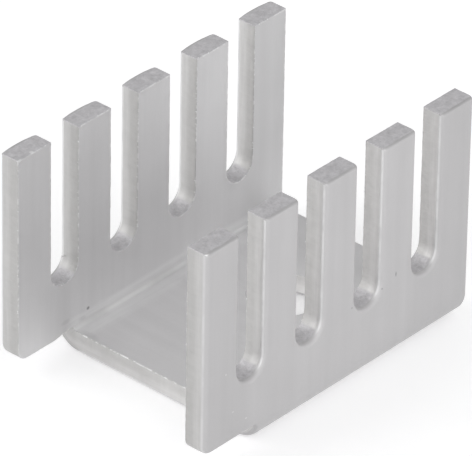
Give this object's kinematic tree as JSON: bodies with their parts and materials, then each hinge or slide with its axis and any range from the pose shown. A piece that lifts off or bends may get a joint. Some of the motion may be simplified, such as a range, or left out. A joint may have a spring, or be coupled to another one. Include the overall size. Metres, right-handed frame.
{
  "type": "transistor heat sink",
  "caption": "U-shaped heat sink bent from aluminium sheet, with slotted upright walls that form fingers, a screw hole in the web and an open lead space at one end.",
  "frame": {"origin": "middle of the footprint, on the underside of the web", "axes": "+X along the channel, away from the lead end; +Y across the channel; +Z from the web up the walls"},
  "size_m": [0.019, 0.0132, 0.0126],
  "materials": {
    "aluminium": "plain mill finish, satin"
  },
  "bodies": {
    "root": {"heat_sink_body": "aluminium"}
  },
  "joints": []
}
